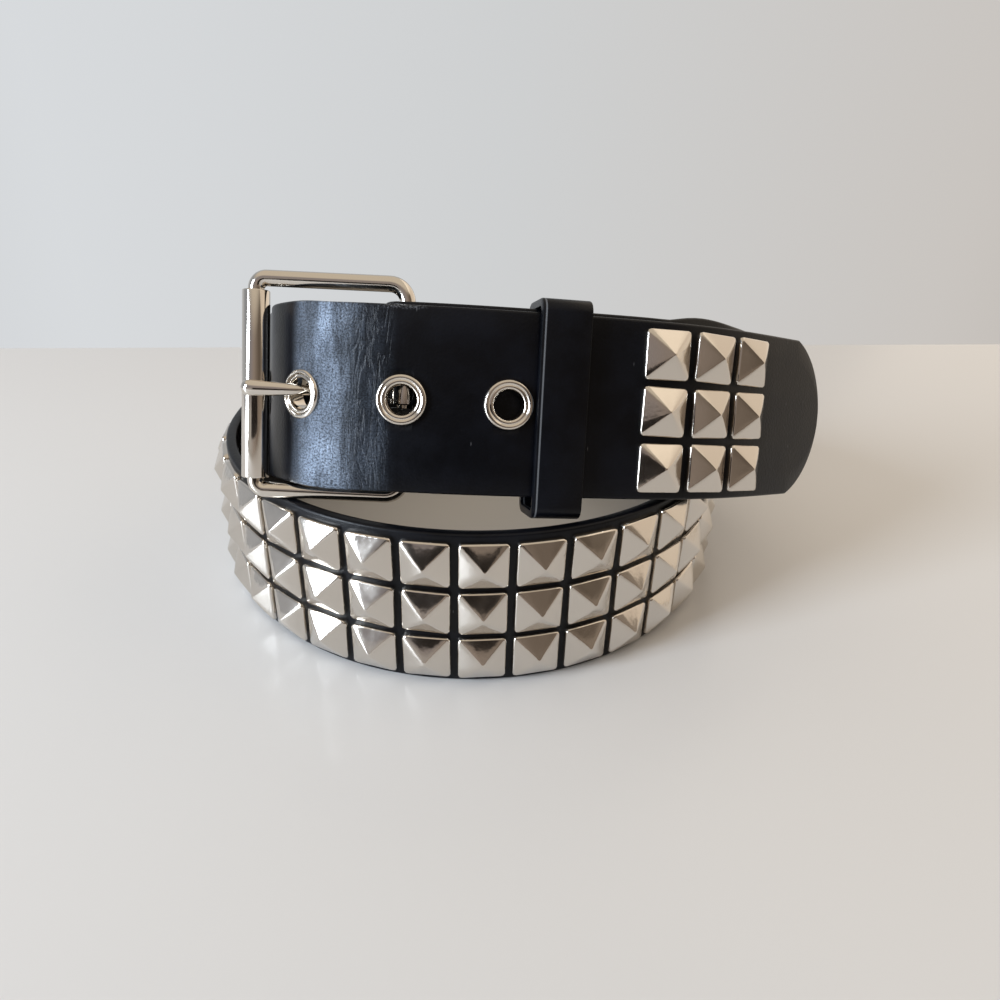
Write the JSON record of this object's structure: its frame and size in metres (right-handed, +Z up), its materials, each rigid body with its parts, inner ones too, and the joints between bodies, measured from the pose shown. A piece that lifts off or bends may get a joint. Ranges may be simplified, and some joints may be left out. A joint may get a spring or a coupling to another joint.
{
  "type": "studded belt",
  "caption": "Black leather belt with rows of metal pyramid studs, fastened with a rectangular roller buckle and coiled into two standing turns.",
  "frame": {"origin": "on the table, under the middle of the belt's bounding box", "axes": "+X along the front from the buckle to the free tip, +Y to the back, +Z up"},
  "size_m": [0.1862, 0.1678, 0.0974],
  "materials": {
    "black_leather": "smooth",
    "nickel": "polished"
  },
  "bodies": {
    "root": {"strap": "black_leather", "keeper": "black_leather", "stud_field": "nickel", "tip_stud_1_1": "nickel", "tip_stud_1_2": "nickel", "tip_stud_1_3": "nickel", "tip_stud_2_1": "nickel", "tip_stud_2_2": "nickel", "tip_stud_2_3": "nickel", "tip_stud_3_1": "nickel", "tip_stud_3_2": "nickel", "tip_stud_3_3": "nickel", "eyelet_1": "nickel", "eyelet_2": "nickel", "eyelet_3": "nickel", "eyelet_4": "nickel", "eyelet_5": "nickel", "buckle_frame": "nickel", "buckle_prong": "nickel"},
    "roller": {"buckle_roller": "nickel"}
  },
  "joints": [
    {"name": "roller_spin", "type": "hinge", "parent": "root", "child": "roller", "pos_m": [-0.06423, -0.05463, 0.07115], "axis": [0.0147, 0.3518, 0.936], "continuous": true}
  ]
}
